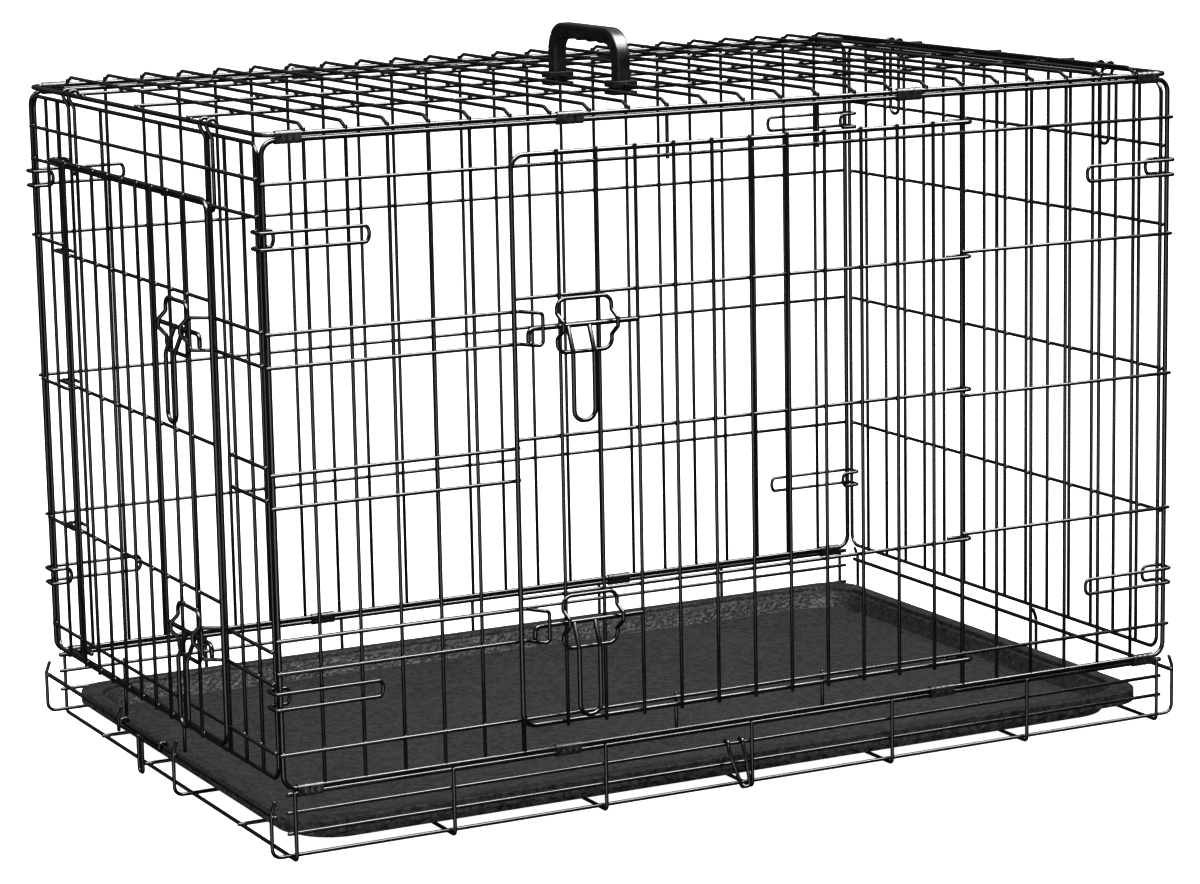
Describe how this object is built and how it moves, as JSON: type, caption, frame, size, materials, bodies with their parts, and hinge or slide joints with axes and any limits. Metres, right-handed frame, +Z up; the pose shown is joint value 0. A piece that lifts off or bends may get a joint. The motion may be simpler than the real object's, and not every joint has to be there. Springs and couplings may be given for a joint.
{
  "type": "dog crate",
  "caption": "Folding wire dog crate with a front door and a side door, slide bolts, a carry handle and a lift-out plastic floor pan.",
  "frame": {"origin": "on the floor, on the flat underside of the middle base wire, under the middle of the crate", "axes": "+X along the long side towards the end without a door, -Y towards the main door, +Z up"},
  "size_m": [0.9554, 0.6172, 0.682],
  "materials": {
    "wire": "semi-gloss black coating",
    "sheet": "semi-gloss black coating on crimped sheet",
    "pan": "fine pebbled black plastic",
    "grip": "semi-gloss moulded black plastic"
  },
  "bodies": {
    "cage": {"base_frame": "wire", "front_panel": "wire", "back_panel": "wire", "top_panel": "wire", "carry_handle": "grip", "sleeve_top_front_1": "sheet", "sleeve_top_front_2": "sheet", "sleeve_top_front_3": "sheet", "sleeve_top_front_4": "sheet", "sleeve_top_back_1": "sheet", "sleeve_top_back_2": "sheet", "sleeve_top_back_3": "sheet", "sleeve_top_back_4": "sheet", "sleeve_low_front_1": "sheet", "sleeve_low_front_2": "sheet", "sleeve_low_front_3": "sheet", "sleeve_low_front_4": "sheet", "sleeve_low_back_1": "sheet", "sleeve_low_back_2": "sheet", "sleeve_low_back_3": "sheet", "sleeve_low_back_4": "sheet", "snap_front_left_upper": "wire", "snap_front_left_lower": "wire", "snap_front_right_upper": "wire", "snap_front_right_lower": "wire", "snap_back_left_upper": "wire", "snap_back_left_lower": "wire", "snap_back_right_upper": "wire", "snap_back_right_lower": "wire"},
    "left_end": {"left_end_panel": "wire"},
    "right_end": {"right_end_panel": "wire"},
    "front_door": {"front_door": "wire", "front_guide_upper": "wire", "front_guide_lower": "wire"},
    "left_door": {"left_door": "wire", "left_guide_upper": "wire", "left_guide_lower": "wire"},
    "front_bolt_upper": {"front_bolt_upper": "wire"},
    "front_bolt_lower": {"front_bolt_lower": "wire"},
    "left_bolt_upper": {"left_bolt_upper": "wire"},
    "left_bolt_lower": {"left_bolt_lower": "wire"},
    "floor_pan": {"floor_pan": "pan"},
    "pan_stop": {"pan_stop": "wire"},
    "front_clip": {"front_clip": "wire"}
  },
  "joints": [
    {"name": "front_door_swing", "type": "hinge", "parent": "cage", "child": "front_door", "pos_m": [0.2286, -0.292, 0.34], "axis": [0, 0, 1], "range_deg": [0, 140]},
    {"name": "left_end_swing", "type": "hinge", "parent": "cage", "child": "left_end", "pos_m": [-0.4572, 0, 0.6238], "axis": [0, -1, 0], "range_deg": [0, 76]},
    {"name": "right_end_swing", "type": "hinge", "parent": "cage", "child": "right_end", "pos_m": [0.4572, 0, 0.6238], "axis": [0, 1, 0], "range_deg": [0, 84]},
    {"name": "left_door_swing", "type": "hinge", "parent": "left_end", "child": "left_door", "pos_m": [-0.4572, 0.2144, 0.32], "axis": [0, 0, 1], "range_deg": [-140, 0]},
    {"name": "front_bolt_upper_slide", "type": "slide", "parent": "front_door", "child": "front_bolt_upper", "axis": [1, 0, 0], "range_m": [0, 0.018]},
    {"name": "front_bolt_lower_slide", "type": "slide", "parent": "front_door", "child": "front_bolt_lower", "axis": [1, 0, 0], "range_m": [0, 0.018]},
    {"name": "left_bolt_upper_slide", "type": "slide", "parent": "left_door", "child": "left_bolt_upper", "axis": [0, 1, 0], "range_m": [0, 0.018]},
    {"name": "left_bolt_lower_slide", "type": "slide", "parent": "left_door", "child": "left_bolt_lower", "axis": [0, 1, 0], "range_m": [0, 0.018]},
    {"name": "pan_lift", "type": "slide", "parent": "cage", "child": "floor_pan", "axis": [0, 0, 1], "range_m": [0, 0.055]},
    {"name": "pan_stop_flip", "type": "hinge", "parent": "cage", "child": "pan_stop", "pos_m": [-0.4665, 0.026, 0.042], "axis": [0, 1, 0], "range_deg": [0, 100]},
    {"name": "front_clip_swing", "type": "hinge", "parent": "cage", "child": "front_clip", "pos_m": [-0.0175, -0.292, 0.044], "axis": [-1, 0, 0], "range_deg": [0, 80]}
  ]
}
